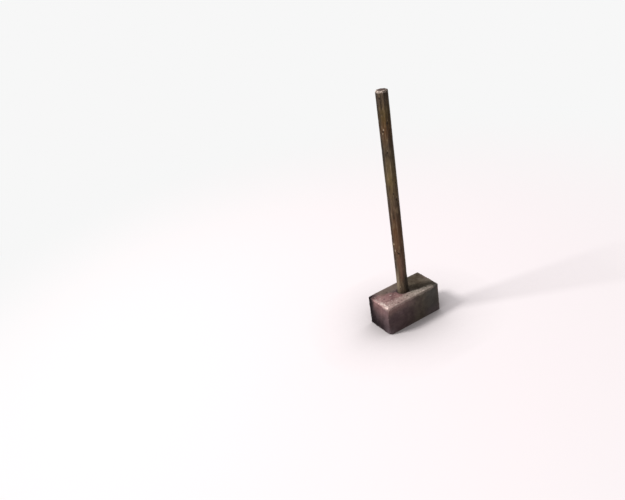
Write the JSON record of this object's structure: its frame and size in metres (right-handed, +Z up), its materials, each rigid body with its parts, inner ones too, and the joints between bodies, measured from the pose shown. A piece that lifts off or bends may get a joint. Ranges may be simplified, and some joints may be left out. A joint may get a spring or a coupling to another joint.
{
  "type": "sledgehammer",
  "caption": "Square-section steel hammer head wedged on a straight eight-sided wooden haft, for two-handed striking at a forge.",
  "frame": {"origin": "on the haft's axis at the underside of the head, which is the wedge side that it stands on", "axes": "+Z up along the haft towards its butt, +X along the head from one striking face to the other, +Y across the head from cheek to cheek"},
  "size_m": [0.192, 0.094, 0.71],
  "materials": {
    "forged_steel": "matte, dark forge scale with rust bloom and rubbed edges",
    "haft_wood": "matte, dark oiled wood, hand polished",
    "wedge_wood": "matte, dry sawn wood",
    "wedge_steel": "matte, hammered bright at the driven end"
  },
  "bodies": {
    "root": {"hammer_head": "forged_steel", "handle": "haft_wood", "wood_wedge": "wedge_wood", "steel_wedge_left": "wedge_steel", "steel_wedge_right": "wedge_steel"}
  },
  "joints": []
}
